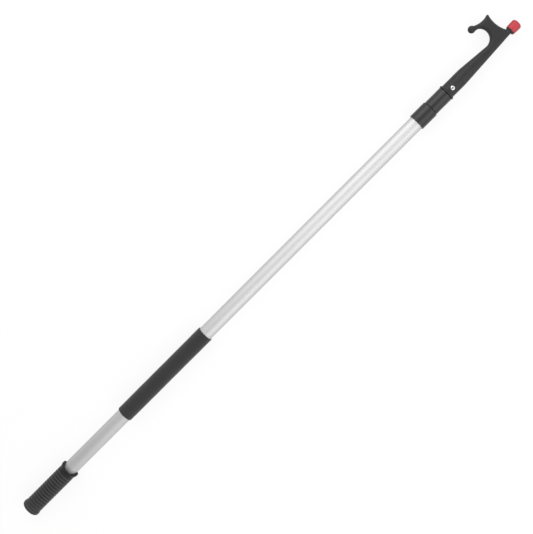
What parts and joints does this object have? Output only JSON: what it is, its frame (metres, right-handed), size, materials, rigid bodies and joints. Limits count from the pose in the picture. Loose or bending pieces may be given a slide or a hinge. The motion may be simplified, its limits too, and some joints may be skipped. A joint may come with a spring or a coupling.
{
  "type": "telescoping boat hook",
  "caption": "Collapsed telescoping boat hook: nested aluminium tubes with twist locks, foam and ribbed rubber grips, and a moulded hook head with a red tip cap.",
  "frame": {"origin": "centre of the flat butt face of the end grip, on the pole's axis", "axes": "+X along the pole from the butt to the tip, +Y towards the arm of the hook, +Z out of the hook's flat side, up when it lies down"},
  "size_m": [1.1518, 0.0663, 0.0326],
  "materials": {
    "tube_aluminium": "satin anodised, drawn lengthwise",
    "black_nylon": "fine moulded texture",
    "grip_rubber": "matte, ribbed",
    "grip_foam": "matte closed-cell foam",
    "natural_nylon": "natural nylon",
    "plated_steel": "plated",
    "rivet_aluminium": "bright",
    "red_cap": "fine texture"
  },
  "bodies": {
    "pole": {"outer_tube": "tube_aluminium", "butt_grip": "grip_rubber", "foam_grip": "grip_foam", "outer_collar": "black_nylon"},
    "middle_ring": {"middle_guide_ring": "natural_nylon"},
    "middle_section": {"middle_tube": "tube_aluminium", "middle_collar": "black_nylon", "middle_lock_plug": "natural_nylon", "middle_plug_pin": "plated_steel", "middle_cam_washer": "plated_steel", "middle_cam_screw": "plated_steel"},
    "middle_cam": {"middle_cam": "black_nylon"},
    "inner_ring": {"inner_guide_ring": "natural_nylon"},
    "inner_section": {"inner_tube": "tube_aluminium", "inner_lock_plug": "natural_nylon", "inner_plug_pin": "plated_steel", "inner_cam_washer": "plated_steel", "inner_cam_screw": "plated_steel", "hook_head": "black_nylon", "head_rivets": "rivet_aluminium", "rivet_mandrels": "plated_steel", "tip_cap": "red_cap"},
    "inner_cam": {"inner_cam": "black_nylon"}
  },
  "joints": [
    {"name": "middle_slide", "type": "slide", "parent": "pole", "child": "middle_ring", "axis": [1, 0, 0], "range_m": [0, 0.65]},
    {"name": "middle_twist", "type": "hinge", "parent": "middle_ring", "child": "middle_section", "pos_m": [0.301, 0, 0], "axis": [1, 0, 0], "range_deg": [0, 90]},
    {"name": "middle_cam_turn", "type": "hinge", "parent": "middle_section", "child": "middle_cam", "pos_m": [0.286, 0.00057, -0.00057], "axis": [1, 0, 0], "range_deg": [-90, 0]},
    {"name": "inner_slide", "type": "slide", "parent": "middle_section", "child": "inner_ring", "axis": [1, 0, 0], "range_m": [0, 0.6246]},
    {"name": "inner_twist", "type": "hinge", "parent": "inner_ring", "child": "inner_section", "pos_m": [0.361, 0, 0], "axis": [1, 0, 0], "range_deg": [0, 90]},
    {"name": "inner_cam_turn", "type": "hinge", "parent": "inner_section", "child": "inner_cam", "pos_m": [0.346, 0.00057, -0.00057], "axis": [1, 0, 0], "range_deg": [-90, 0]}
  ],
  "couplings": [
    {"joint": "middle_cam_turn", "follows": "middle_twist", "ratio": -1},
    {"joint": "inner_cam_turn", "follows": "inner_twist", "ratio": -1}
  ]
}
